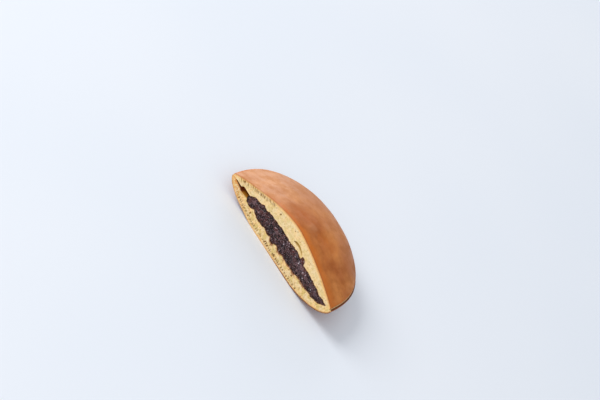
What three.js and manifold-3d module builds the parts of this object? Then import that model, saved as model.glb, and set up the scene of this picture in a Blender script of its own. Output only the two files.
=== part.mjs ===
// Half of a large dorayaki, cut through the middle: two browned pancakes with a filling of sweet
// azuki bean paste between them. It lies on its lower pancake, as such a half rests by itself.
//
// Millimetres, +Z up. +X runs along the cut face, and the cut face looks towards -Y. The sizes below
// are measured from the middle of the cut, level with the surface that the half rests on.
//
// The pancakes and the filling are "half-moons": a pole on the cut face, rays that fan out from it
// over half a turn, and rings that grow from the pole to the rim.

import * as THREE from "three";
import { mergeVertices } from "three/addons/utils/BufferGeometryUtils.js";
import Module from "manifold-3d";

const wasm = await Module();
wasm.setup();

// ---- Driving dimensions ----------------------------------------------------------------------

const DEPTH = 76; // from the cut face to the back of the rim
const OUTLINE_POWER = 2.6; // 2 is an ellipse, and more is fuller at the corners
const OUTLINE_SKEW = -0.055; // the rim reaches further at the back left than at the back right

const SEAM_HEIGHT = 18.3; // where the two pancakes meet, above the surface under the half
const SEAM_SLOPE = 0.044; // the seam climbs a little towards +X
const TOUCH_GAP = 0.3; // the gap between pieces that touch

const CROWN = {
  centre: 0, // of the upper pancake, along X
  halfLength: 73, // half of its diameter, along the cut
  rise: 23, // of its top above the seam
  shift: -2, // of its highest point from its centre
  power: 1.66, // of the distance from the highest point
  fullness: 1.13, // power of what is left, along the cut: less is fuller
  backFullness: 0.41, // the same towards the back
  edge: 2.8, // thickness of the pancake's rim
  // Shallow hollows in the top: where they are, how far they reach and how deep they go.
  dents: [
    { x: -8, y: 28, reach: 9, depth: 0.5 },
    { x: 17, y: 23, reach: 10, depth: 0.6 },
    { x: 44, y: 30, reach: 11, depth: 0.35 },
    { x: -30, y: 44, reach: 12, depth: 0.3 },
  ],
};
const BELLY = {
  centre: 1, // the lower pancake reaches out a little further at the right end
  halfLength: 74.2,
  rise: 20, // of the underside below the seam, before it flattens on the table
  shift: 24,
  power: 2.47,
  fullness: 0.61,
  backFullness: 0.5,
  edge: 2.6,
  dents: [],
};
const LIP_HEIGHT = 1.3; // of the upright edge beside the seam
const LIP_INSET = 0.8; // depth of the groove along the seam

const PASTE = {
  centre: 9.2, // of the filling along X
  halfLength: 58.9,
  depth: 64,
  halfHeight: 7.5,
  power: 2.9,
  fullness: 0.76,
  drop: 1.25, // of the filling's edge below the seam
  tilt: 0.068, // the filling's middle sinks from the left end to the right, as a slope
  pivot: 8, // where it is level with the edge
  // Where the filling swells at the cut, or draws in with a height below 0. side 1 is its upper edge.
  swells: [
    { side: 1, x: -43, height: 1.5, reach: 5 },
    { side: 1, x: -8, height: 1.2, reach: 7 },
    { side: 1, x: 16, height: 2.5, reach: 7 },
    { side: 1, x: 40, height: 0.6, reach: 7 },
    { side: -1, x: -43, height: 3.7, reach: 5 },
    { side: -1, x: -26, height: 2.6, reach: 6.5 },
    { side: -1, x: -5, height: 1.6, reach: 4 },
    { side: -1, x: 36, height: -2.4, reach: 6 },
    { side: -1, x: 47, height: -1.1, reach: 6 },
  ],
};
const SWELL_DEPTH = 8; // how far the swells run in from the cut face
const LUMP_SIZE = 8.5; // the length of the shortest wave in the filling's skin
const LUMP_HEIGHT = 0.5;

const BEAN_LENGTH = 6.4; // a cooked azuki bean
const BEAN_WIDTH = 4.4;
const BEAN_COUNT = 32;
const BEAN_PROUD = 1.1; // how far a bean stands out of the cut face
const RISEN_BEAN = { x: 25, level: 5.8, length: 8.2, width: 5, turn: 0.35 }; // in the upper crumb

const POCKET = { x: -52, length: 15.5, height: 2.8, depth: 7, drop: 1.25 }; // beside the filling
const TEAR = { fromX: 8, toX: 23, fromLevel: 11.4, toLevel: 9.2, bulge: 2.4, width: 0.9, depth: 3 };
const PORE_RADIUS = 0.85; // of the largest bubbles in the crumb
const PORES_PER_PANCAKE = 9;

const COLOURS = { crown: 0xb8743c, belly: 0xa9683a, paste: 0x3a2426 };

// ---- Outlines and surfaces -------------------------------------------------------------------

/** Height of the seam at a place along the cut. */
const seam = (x) => SEAM_HEIGHT + SEAM_SLOPE * x;

/** Distance from a half-moon's pole to its rim, in the direction of an angle from +X. */
function rimDistance(angle, halfLength, depth) {
  const across = Math.abs(Math.cos(angle)) / halfLength;
  const back = Math.abs(Math.sin(angle)) / depth;
  const round = (across ** OUTLINE_POWER + back ** OUTLINE_POWER) ** (-1 / OUTLINE_POWER);
  return round * (1 + OUTLINE_SKEW * Math.sin(2 * angle));
}

/**
 * How far a point is from a shifted peak towards the rim: 0 at the peak and 1 at the rim. The shift
 * fades out on the way to the rim, so that the outline stays where it is.
 */
function shareToRim(x, y, shift, halfLength, depth) {
  const share = Math.hypot(x, y) / rimDistance(Math.atan2(y, x), halfLength, depth);
  const movedX = x - shift * (1 - share);
  const moved = Math.hypot(movedX, y) / rimDistance(Math.atan2(y, movedX), halfLength, depth);
  return Math.min(1, moved);
}

/** Distance of a pancake's browned side from the seam. */
function mound(shape, x, y) {
  const fromCentre = x - shape.centre;
  const share = shareToRim(fromCentre, y, shape.shift, shape.halfLength, DEPTH);
  const back = y / (Math.hypot(fromCentre, y) || 1);
  const fullness = shape.fullness + (shape.backFullness - shape.fullness) * back * back;
  const body = (shape.rise - shape.edge) * (1 - share ** shape.power) ** fullness;
  const shoulder = (shape.edge - LIP_HEIGHT) * Math.sqrt(1 - share ** 8);
  const hollows = shape.dents.map(
    (dent) => dent.depth * Math.exp(-((x - dent.x) ** 2 + (y - dent.y) ** 2) / dent.reach ** 2),
  );
  return LIP_HEIGHT + body + shoulder - hollows.reduce((sum, hollow) => sum + hollow, 0);
}

/** Low mounds and hollows of the bean paste. */
function lumps(x, y) {
  const waves = 5;
  let sum = 0;
  for (let k = 0; k < waves; k += 1) {
    const turn = 2.4 * k; // the waves run in well spread directions
    const along = x * Math.cos(turn) + y * Math.sin(turn);
    sum += Math.sin((2 * Math.PI * along) / (LUMP_SIZE * (1 + 0.24 * k)) + 1.9 * k);
  }
  return (LUMP_HEIGHT * sum) / Math.sqrt(waves);
}

/** How far the filling's skin stands out near the cut, or in when it is below 0. */
function swelling(side, x, y) {
  const here = PASTE.swells.filter((swell) => swell.side === side);
  const heights = here.map((swell) => swell.height * Math.exp(-(((x - swell.x) / swell.reach) ** 2)));
  return heights.reduce((sum, height) => sum + height, 0) * Math.exp(-((y / SWELL_DEPTH) ** 2));
}

/** Height of the filling's upper (side 1) or lower (side -1) skin, grown by a gap. */
function pasteSkin(side, x, y, grow) {
  const share = shareToRim(x - PASTE.centre, y, 0, PASTE.halfLength, PASTE.depth);
  const middle = seam(x) - PASTE.drop - PASTE.tilt * (x - PASTE.pivot) * (1 - share ** 5);
  const body = PASTE.halfHeight * (1 - share ** PASTE.power) ** PASTE.fullness;
  const uneven = lumps(x, y + 40 * side) * Math.sqrt(1 - share ** 4);
  return middle + side * (Math.max(0.4, body + uneven + swelling(side, x, y)) + grow);
}

// ---- Solids ----------------------------------------------------------------------------------

/** A solid that can be joined and cut, from a geometry and a matrix that places it. */
function solidOf(geometry, matrix = new THREE.Matrix4()) {
  const plain = geometry.index ? geometry.toNonIndexed() : geometry.clone();
  plain.deleteAttribute("normal");
  plain.deleteAttribute("uv");
  const merged = mergeVertices(plain.applyMatrix4(matrix), 1e-4);
  return new wasm.Manifold(
    new wasm.Mesh({
      numProp: 3,
      vertProperties: merged.attributes.position.array,
      triVerts: new Uint32Array(merged.index.array),
    }),
  );
}

/**
 * A closed half-moon between an upper and a lower skin. Each skin is a function of the ring's share
 * (0 at the pole, 1 at the rim) and the ray's angle, and gives a point.
 */
function halfMoon({ rays, rings, upper, lower, crowding = 0 }) {
  const points = [];
  const faces = [];
  const perSkin = 1 + rings * (rays + 1);
  for (const skin of [upper, lower]) {
    points.push(skin(0, 0));
    for (let ring = 1; ring <= rings; ring += 1) {
      for (let ray = 0; ray <= rays; ray += 1) {
        const turn = ray / rays;
        // Crowding above 0 brings more rays close to the cut face, where the detail is.
        const angle = Math.PI * turn - (crowding * Math.sin(2 * Math.PI * turn)) / 2;
        const [x, y, z] = skin(ring / rings, angle);
        const onCut = ray === 0 || ray === rays;
        points.push([x, onCut ? 0 : y, z]);
      }
    }
  }
  const at = (skin, ring, ray) => skin * perSkin + (ring === 0 ? 0 : 1 + (ring - 1) * (rays + 1) + ray);
  const quad = (a, b, c, d) => faces.push([a, b, c], [a, c, d]);
  for (let ray = 0; ray < rays; ray += 1) {
    faces.push([at(0, 0, 0), at(0, 1, ray), at(0, 1, ray + 1)]);
    faces.push([at(1, 0, 0), at(1, 1, ray + 1), at(1, 1, ray)]);
    for (let ring = 1; ring < rings; ring += 1) {
      quad(at(0, ring, ray), at(0, ring + 1, ray), at(0, ring + 1, ray + 1), at(0, ring, ray + 1));
      quad(at(1, ring, ray), at(1, ring, ray + 1), at(1, ring + 1, ray + 1), at(1, ring + 1, ray));
    }
    quad(at(1, rings, ray), at(1, rings, ray + 1), at(0, rings, ray + 1), at(0, rings, ray));
  }
  for (let ring = 0; ring < rings; ring += 1) {
    quad(at(0, ring, 0), at(1, ring, 0), at(1, ring + 1, 0), at(0, ring + 1, 0));
    quad(at(1, ring, rays), at(0, ring, rays), at(0, ring + 1, rays), at(1, ring + 1, rays));
  }
  const geometry = new THREE.BufferGeometry();
  geometry.setAttribute("position", new THREE.Float32BufferAttribute(points.flat(), 3));
  geometry.setIndex(faces.filter(([a, b, c]) => a !== b && b !== c && a !== c).flat());
  return solidOf(geometry);
}

/** A pancake without its hollows. side is 1 for the upper one and -1 for the lower. */
function pancakeBlank(shape, side) {
  const plan = (share, angle, inset) => {
    const rim = rimDistance(angle, shape.halfLength, DEPTH) - inset;
    const reach = rim * Math.sin((share * Math.PI) / 2);
    return [shape.centre + reach * Math.cos(angle), reach * Math.sin(angle)];
  };
  const browned = (share, angle) => {
    const [x, y] = plan(share, angle, 0);
    return [x, y, Math.max(0, seam(x) + side * mound(shape, x, y))];
  };
  const inner = (share, angle) => {
    const [x, y] = plan(share, angle, LIP_INSET);
    return [x, y, seam(x) + (side * TOUCH_GAP) / 2];
  };
  const [upper, lower] = side > 0 ? [browned, inner] : [inner, browned];
  return halfMoon({ rays: 40, rings: 17, upper, lower });
}

/** The filling without its beans, or the room for it when it is grown by a gap. */
function pasteCore(grow) {
  const skin = (side) => (share, angle) => {
    const rim = rimDistance(angle, PASTE.halfLength, PASTE.depth) + grow;
    const reach = rim * Math.sin((share * Math.PI) / 2);
    const [x, y] = [PASTE.centre + reach * Math.cos(angle), reach * Math.sin(angle)];
    return [x, y, pasteSkin(side, x, y, grow)];
  };
  return halfMoon({ rays: 20, rings: 34, upper: skin(1), lower: skin(-1), crowding: 0.7 });
}

/** A bean as a stretched ball with few sides, turned in the plane of the cut. */
function bean(centre, length, width, turn) {
  const scale = new THREE.Vector3(length, width, width).multiplyScalar(0.5);
  const tilt = new THREE.Quaternion().setFromAxisAngle(new THREE.Vector3(0, 1, 0), turn);
  const place = new THREE.Matrix4().compose(centre, tilt, scale);
  return solidOf(new THREE.IcosahedronGeometry(1, 1), place);
}

/** Seeded draws from 0 to 1. */
function seededDraws(seed) {
  let state = seed;
  return () => {
    state = (state + 0x6d2b79f5) | 0;
    let t = Math.imul(state ^ (state >>> 15), 1 | state);
    t = (t + Math.imul(t ^ (t >>> 7), 61 | t)) ^ t;
    return ((t ^ (t >>> 14)) >>> 0) / 4294967296;
  };
}

/** Beans that show in the cut face, each inside the filling's own section. */
function cutBeans() {
  const draw = seededDraws(11);
  const beans = [];
  const spacing = (2 * PASTE.halfLength - BEAN_LENGTH) / BEAN_COUNT;
  for (let i = 0; i < BEAN_COUNT; i += 1) {
    const x = PASTE.centre - PASTE.halfLength + BEAN_LENGTH / 2 + spacing * (i + draw());
    const size = 0.75 + 0.35 * draw();
    const level = draw();
    const turn = 0.9 * (draw() - 0.5);
    const proud = BEAN_PROUD * (0.5 + 0.5 * draw());
    const span = [x - BEAN_LENGTH / 3, x, x + BEAN_LENGTH / 3];
    const top = Math.min(...span.map((along) => pasteSkin(1, along, 0, 0)));
    const bottom = Math.max(...span.map((along) => pasteSkin(-1, along, 0, 0)));
    const width = BEAN_WIDTH * size;
    const room = top - bottom - width - 0.8;
    if (room > 0.4) {
      const centre = new THREE.Vector3(x, width / 2 - proud, bottom + 0.4 + width / 2 + room * level);
      beans.push(bean(centre, BEAN_LENGTH * size, width, turn * Math.min(1, room / 3)));
    }
  }
  return beans;
}

/** The bean that has risen out of the filling, or the room for it when it is grown by a gap. */
function risenBean(grow) {
  const { x, level, length, width, turn } = RISEN_BEAN;
  const centre = new THREE.Vector3(x, width / 2 - BEAN_PROUD, seam(x) + level);
  return bean(centre, length + 2 * grow, width + 2 * grow, turn);
}

/** The gap between the pancakes to the left of the filling, which the cut opens. */
function pocket() {
  const scale = new THREE.Vector3(POCKET.length, POCKET.depth, POCKET.height);
  const centre = new THREE.Vector3(POCKET.x, 0, seam(POCKET.x) - POCKET.drop);
  const place = new THREE.Matrix4().compose(centre, new THREE.Quaternion(), scale);
  return solidOf(new THREE.SphereGeometry(1, 20, 10), place);
}

/** The thin curved tear in the upper pancake's crumb: a crescent that goes in from the cut face. */
function tear() {
  const { fromX, toX, fromLevel, toLevel, bulge, width, depth } = TEAR;
  const start = [fromX, seam(fromX) + fromLevel];
  const end = [toX, seam(toX) + toLevel];
  const middle = [(start[0] + end[0]) / 2, (start[1] + end[1]) / 2 + bulge];
  const crescent = new THREE.Shape();
  crescent.moveTo(...start);
  crescent.quadraticCurveTo(middle[0], middle[1] + width, ...end);
  crescent.quadraticCurveTo(middle[0], middle[1] - width, ...start);
  // The crescent is drawn in X and Z, so its sweep is turned from +Z to -Y.
  const geometry = new THREE.ExtrudeGeometry(crescent, {
    depth: depth + 1,
    bevelEnabled: false,
    curveSegments: 8,
  });
  const place = new THREE.Matrix4().makeRotationX(Math.PI / 2).setPosition(0, depth, 0);
  return solidOf(geometry, place);
}

/** Bubbles cut open in a pancake's crumb. side is 1 for the upper pancake and -1 for the lower. */
function pores(shape, side, seed) {
  const draw = seededDraws(seed);
  const holes = [];
  const reach = shape.halfLength * 0.84;
  for (let i = 0; i < PORES_PER_PANCAKE; i += 1) {
    const x = -reach + (2 * reach * (i + 0.15 + 0.7 * draw())) / PORES_PER_PANCAKE;
    const size = PORE_RADIUS * (0.6 + 0.5 * draw());
    const level = draw();
    const beside = Math.abs(x - PASTE.centre) > PASTE.halfLength;
    const inner = beside ? 1 : Math.max(1, side * (pasteSkin(side, x, 0, 0) - seam(x)));
    const room = mound(shape, x, 0) - inner - 2 * size - 2;
    if (room > 0) {
      const centre = new THREE.Vector3(x, 0, seam(x) + side * (inner + size + 0.8 + room * level));
      const scale = new THREE.Vector3(1, 1.4, 1.25).multiplyScalar(size);
      const place = new THREE.Matrix4().compose(centre, new THREE.Quaternion(), scale);
      holes.push(solidOf(new THREE.IcosahedronGeometry(1, 1), place));
    }
  }
  return holes;
}

// ---- The cake --------------------------------------------------------------------------------

const cutAll = (solid, tools) => tools.reduce((left, tool) => left.subtract(tool), solid);

/** A named mesh of a solid, with flat faces. */
function piece(name, solid, colour, roughness) {
  const { vertProperties, triVerts } = solid.getMesh();
  const geometry = new THREE.BufferGeometry();
  geometry.setAttribute("position", new THREE.BufferAttribute(vertProperties, 3));
  geometry.setIndex(new THREE.BufferAttribute(triVerts, 1));
  const faceted = geometry.toNonIndexed();
  faceted.computeVertexNormals();
  const material = new THREE.MeshStandardMaterial({ color: colour, roughness, metalness: 0 });
  const mesh = new THREE.Mesh(faceted, material);
  mesh.name = name;
  return mesh;
}

const rooms = [pasteCore(TOUCH_GAP), risenBean(TOUCH_GAP), pocket()];
const upperPancake = cutAll(pancakeBlank(CROWN, 1), [...rooms, tear(), ...pores(CROWN, 1, 5)]);
const lowerPancake = cutAll(pancakeBlank(BELLY, -1), [...rooms, ...pores(BELLY, -1, 8)]);
const filling = [...cutBeans(), risenBean(0)].reduce((joined, one) => joined.add(one), pasteCore(0));

const cake = new THREE.Group();
cake.add(
  piece("upper_pancake", upperPancake, COLOURS.crown, 0.6),
  piece("lower_pancake", lowerPancake, COLOURS.belly, 0.6),
  piece("bean_paste", filling, COLOURS.paste, 0.35),
);

// The origin moves to the middle of the body's box, on the surface that it rests on.
const bounds = new THREE.Box3().setFromObject(cake);
const middle = bounds.getCenter(new THREE.Vector3());
for (const mesh of cake.children) {
  mesh.position.set(-middle.x, -middle.y, -bounds.min.z);
}

export default cake;
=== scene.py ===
import itertools
import logging
import math
from dataclasses import dataclass, field
from enum import Enum
from typing import Sequence

import bpy
import numpy as np
from mathutils import Matrix, Vector


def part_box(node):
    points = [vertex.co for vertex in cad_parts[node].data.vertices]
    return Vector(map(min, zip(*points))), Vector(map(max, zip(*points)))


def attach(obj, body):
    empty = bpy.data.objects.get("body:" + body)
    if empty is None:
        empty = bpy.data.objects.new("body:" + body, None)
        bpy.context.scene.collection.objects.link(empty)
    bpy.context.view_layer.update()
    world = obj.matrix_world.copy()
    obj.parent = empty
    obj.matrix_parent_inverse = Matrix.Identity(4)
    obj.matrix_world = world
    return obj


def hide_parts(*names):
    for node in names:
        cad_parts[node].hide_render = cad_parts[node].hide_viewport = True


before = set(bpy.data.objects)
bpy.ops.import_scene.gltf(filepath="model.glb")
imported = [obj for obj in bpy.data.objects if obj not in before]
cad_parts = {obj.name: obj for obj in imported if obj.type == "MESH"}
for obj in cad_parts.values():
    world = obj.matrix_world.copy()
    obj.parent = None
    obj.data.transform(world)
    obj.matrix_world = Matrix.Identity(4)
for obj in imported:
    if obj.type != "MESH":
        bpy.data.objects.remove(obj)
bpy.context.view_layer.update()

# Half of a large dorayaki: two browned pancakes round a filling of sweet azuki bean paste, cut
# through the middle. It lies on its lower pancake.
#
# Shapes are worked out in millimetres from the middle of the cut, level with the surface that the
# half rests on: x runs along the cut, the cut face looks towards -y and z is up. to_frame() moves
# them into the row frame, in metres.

LOG = logging.getLogger("half_dorayaki")
Array = np.ndarray
Colour = tuple[float, float, float]
Span = tuple[float, float]
Material = bpy.types.Material
Node = bpy.types.Node
Socket = bpy.types.NodeSocket
Tree = bpy.types.NodeTree
MM = 0.001
# A height far below every shape, and a distance well inside the crumb, in millimetres.
NOWHERE = -99.0
FAR_INSIDE = 12.0


# ---- Shapes ----------------------------------------------------------------------------------


class Side(Enum):
    """The two pancakes, as the direction from the seam to the browned side."""

    UPPER = 1
    LOWER = -1


class Zone(Enum):
    """The parts of a half-moon's surface, which may differ in finish."""

    BROWNED = 0
    CUT = 1
    HIDDEN = 2


class Noise:
    """Smooth seeded noise in space, from about -1 to 1."""

    CELLS = 256
    STRENGTH = 1.6

    def __init__(self, seed: int) -> None:
        """Draws the directions of the noise's slopes.

        Args:
            seed: makes one noise differ from another.
        """
        draw = np.random.default_rng(seed)
        self.order = draw.permutation(self.CELLS)
        slopes = draw.normal(size=(self.CELLS, 3))
        self.slopes = slopes / np.linalg.norm(slopes, axis=1, keepdims=True)

    def at(self, points: Array, size: float) -> Array:
        """Noise at points.

        Args:
            points: coordinates, with three in the last axis.
            size: distance over which the noise changes, in the points' unit.

        Returns:
            One value for each point.
        """
        scaled = np.asarray(points, float) / size
        cell = np.floor(scaled).astype(int)
        inside = scaled - cell
        fade = inside**3 * (inside * (6 * inside - 15) + 10)
        total = np.zeros(scaled.shape[:-1])
        for corner in itertools.product((0, 1), repeat=3):
            place = 0
            for coordinate in np.moveaxis(cell + corner, -1, 0):
                place = self.order[(place + coordinate) % self.CELLS]
            weight = np.prod(np.where(np.array(corner) == 1, fade, 1 - fade), axis=-1)
            total += weight * np.sum(self.slopes[place] * (inside - corner), axis=-1)
        return self.STRENGTH * total

    def layered(self, points: Array, size: float, layers: int) -> Array:
        """Noise with finer layers on top, each half as large and half as strong."""
        return sum(self.at(points, size / 2**k) / 2**k for k in range(layers))


def spread(x: Array, y: Array | float, z: Array | float) -> Array:
    """Points from coordinates that may be arrays or single numbers."""
    return np.stack(np.broadcast_arrays(x, y, z), axis=-1).astype(float)


def smooth_step(value: Array, low: float, high: float) -> Array:
    """0 below low, 1 above high and smooth between."""
    t = np.clip((value - low) / (high - low), 0, 1)
    return t * t * (3 - 2 * t)


def rounded(value: Array) -> Array:
    """1 at 0, falling ever more steeply to 0 at 1, and 0 beyond."""
    return np.sqrt(np.maximum(0, 1 - value))


def bell(distance: Array, reach: float) -> Array:
    """1 at no distance, and next to nothing at twice the reach."""
    return np.exp(-((distance / reach) ** 2))


@dataclass(frozen=True)
class Plan:
    """The outline of a half-moon, seen from above."""

    centre: float
    half_length: float
    depth: float
    power: float = 2.6
    skew: float = -0.055

    def rim(self, angle: Array) -> Array:
        """Distance from the pole to the rim.

        Args:
            angle: direction from +x, in radians.

        Returns:
            The distance in each direction.
        """
        across = np.abs(np.cos(angle)) / self.half_length
        back = np.abs(np.sin(angle)) / self.depth
        even = (across**self.power + back**self.power) ** (-1 / self.power)
        return even * (1 + self.skew * np.sin(2 * angle))

    def outwards(self, x: Array, y: Array) -> Array:
        """How far points are from the pole, where the rim is 1."""
        from_pole = x - self.centre
        return np.hypot(from_pole, y) / self.rim(np.arctan2(y, from_pole))

    def share(self, x: Array, y: Array, shift: float = 0.0) -> Array:
        """0 at a peak, whose shift from the pole fades outwards, and 1 from the rim on."""
        moved = x - self.centre - shift * (1 - self.outwards(x, y))
        return np.minimum(1, np.hypot(moved, y) / self.rim(np.arctan2(y, moved)))

    @staticmethod
    def crowded(share: Array) -> Array:
        """The same share in places that get closer together towards the rim."""
        return 0.3 * share + 0.7 * np.sin(share * math.pi / 2)

    def point(self, share: Array, angle: Array, inset: float = 0.0) -> tuple[Array, Array]:
        """The x and y of places at a share of the way to the rim, or to an inset from it."""
        reach = (self.rim(angle) - inset) * self.crowded(share)
        return self.centre + reach * np.cos(angle), reach * np.sin(angle)


@dataclass(frozen=True)
class Seam:
    """The height at which the two pancakes meet."""

    height: float = 18.3
    slope: float = 0.044

    def at(self, x: Array) -> Array:
        """Height of the seam along the cut."""
        return self.height + self.slope * x


@dataclass(frozen=True)
class Oval:
    """An oval in the cut face, which may be turned."""

    x: float
    z: float
    width: float
    height: float
    turn: float

    def near(self, x: Array, z: Array) -> Array:
        """Which places are close enough to lie in the oval."""
        reach = max(self.width, self.height) / 2
        return (np.abs(x - self.x) < reach) & (np.abs(z - self.z) < reach)

    def dome(self, x: Array, z: Array) -> Array:
        """A round dome over the oval.

        Args:
            x: places along the cut.
            z: heights.

        Returns:
            1 in the middle of the oval, and 0 at its edge and outside.
        """
        c, s = math.cos(self.turn), math.sin(self.turn)
        across = 2 * ((x - self.x) * c - (z - self.z) * s) / self.width
        up = 2 * ((x - self.x) * s + (z - self.z) * c) / self.height
        return rounded(across**2 + up**2)


@dataclass(frozen=True)
class Pore(Oval):
    """A bubble that the cut has opened."""

    depth: float


@dataclass(frozen=True)
class Bean(Oval):
    """A cooked bean, or a piece of one, in the cut face. It is as deep as it is high."""

    proud: float
    tone: float

    def cap(self, x: Array, z: Array) -> Array:
        """How far the bean stands out of the cut face, or NOWHERE beside it."""
        dome = self.dome(x, z)
        return np.where(dome > 0, self.proud - self.height / 2 * (1 - dome), NOWHERE)

    def top(self, x: Array, y: Array) -> Array:
        """Height of the bean's upper side, or NOWHERE beside it.

        Args:
            x: places along the cut.
            y: places behind the cut.

        Returns:
            The height at each place.
        """
        radius = self.height / 2
        thinner = np.maximum(0, 1 - ((y - (radius - self.proud)) / radius) ** 2)
        wide, high = (self.width / 2) ** 2 * thinner, radius**2 * thinner
        c, s = math.cos(-self.turn), math.sin(-self.turn)
        across = wide * c * c + high * s * s
        along = x - self.x
        room = np.maximum(0, across - along**2)
        found = (room > 0) & (thinner > 0)
        lift = along * (wide - high) * s * c + np.sqrt(wide * high * room)
        return np.where(found, self.z + lift / np.where(found, across, 1.0), NOWHERE)


@dataclass(frozen=True)
class Hollow:
    """A shallow round hollow in a browned side, or a raised place with a depth below 0."""

    x: float
    y: float
    reach: float
    depth: float

    def at(self, x: Array, y: Array) -> Array:
        """How deep the hollow is at each place."""
        return self.depth * bell(np.hypot(x - self.x, y - self.y), self.reach)


@dataclass(frozen=True)
class Swells:
    """Places where the filling's edge stands out at the cut, or draws in with a height below 0.

    Each row is a place along the cut, a height and a reach.
    """

    upper: tuple[tuple[float, float, float], ...]
    lower: tuple[tuple[float, float, float], ...]

    def at(self, side: Side, x: Array) -> Array:
        """How far the edge of a side stands out."""
        rows = self.upper if side is Side.UPPER else self.lower
        return sum(height * bell(x - at, reach) for at, height, reach in rows)


@dataclass(frozen=True)
class Mound:
    """The browned side of a pancake, as its distance from the seam."""

    plan: Plan
    rise: float
    shift: float
    power: float
    fullness: float
    back_fullness: float
    edge: float
    hollows: tuple[Hollow, ...] = ()
    lip_height: float = 1.3
    lip_inset: float = 0.3

    def at(self, x: Array, y: Array) -> Array:
        """Distance of the browned side from the seam.

        Args:
            x: places along the cut.
            y: places behind the cut.

        Returns:
            The distance at each place.
        """
        share = self.plan.share(x, y, self.shift)
        back = y / np.maximum(np.hypot(x - self.plan.centre, y), 1e-9)
        fullness = self.fullness + (self.back_fullness - self.fullness) * back**2
        body = (self.rise - self.edge) * np.maximum(0, 1 - share**self.power) ** fullness
        shoulder = (self.edge - self.lip_height) * rounded(share**8)
        return self.lip_height + body + shoulder - sum(h.at(x, y) for h in self.hollows)


class SeededDraws:
    """The same draws from 0 to 1 as the solid's own, so that its beans come back."""

    WORD = 0xFFFFFFFF
    STEP = 0x6D2B79F5

    def __init__(self, seed: int) -> None:
        """Starts a new row of draws."""
        self.state = seed

    def __call__(self) -> float:
        """The next draw.

        Returns:
            A number from 0 to 1.
        """
        self.state = (self.state + self.STEP) & self.WORD
        t = (self.state ^ (self.state >> 15)) * (1 | self.state) & self.WORD
        t = ((t + ((t ^ (t >> 7)) * (61 | t) & self.WORD)) & self.WORD) ^ t
        return (t ^ (t >> 14)) / (self.WORD + 1)


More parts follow.
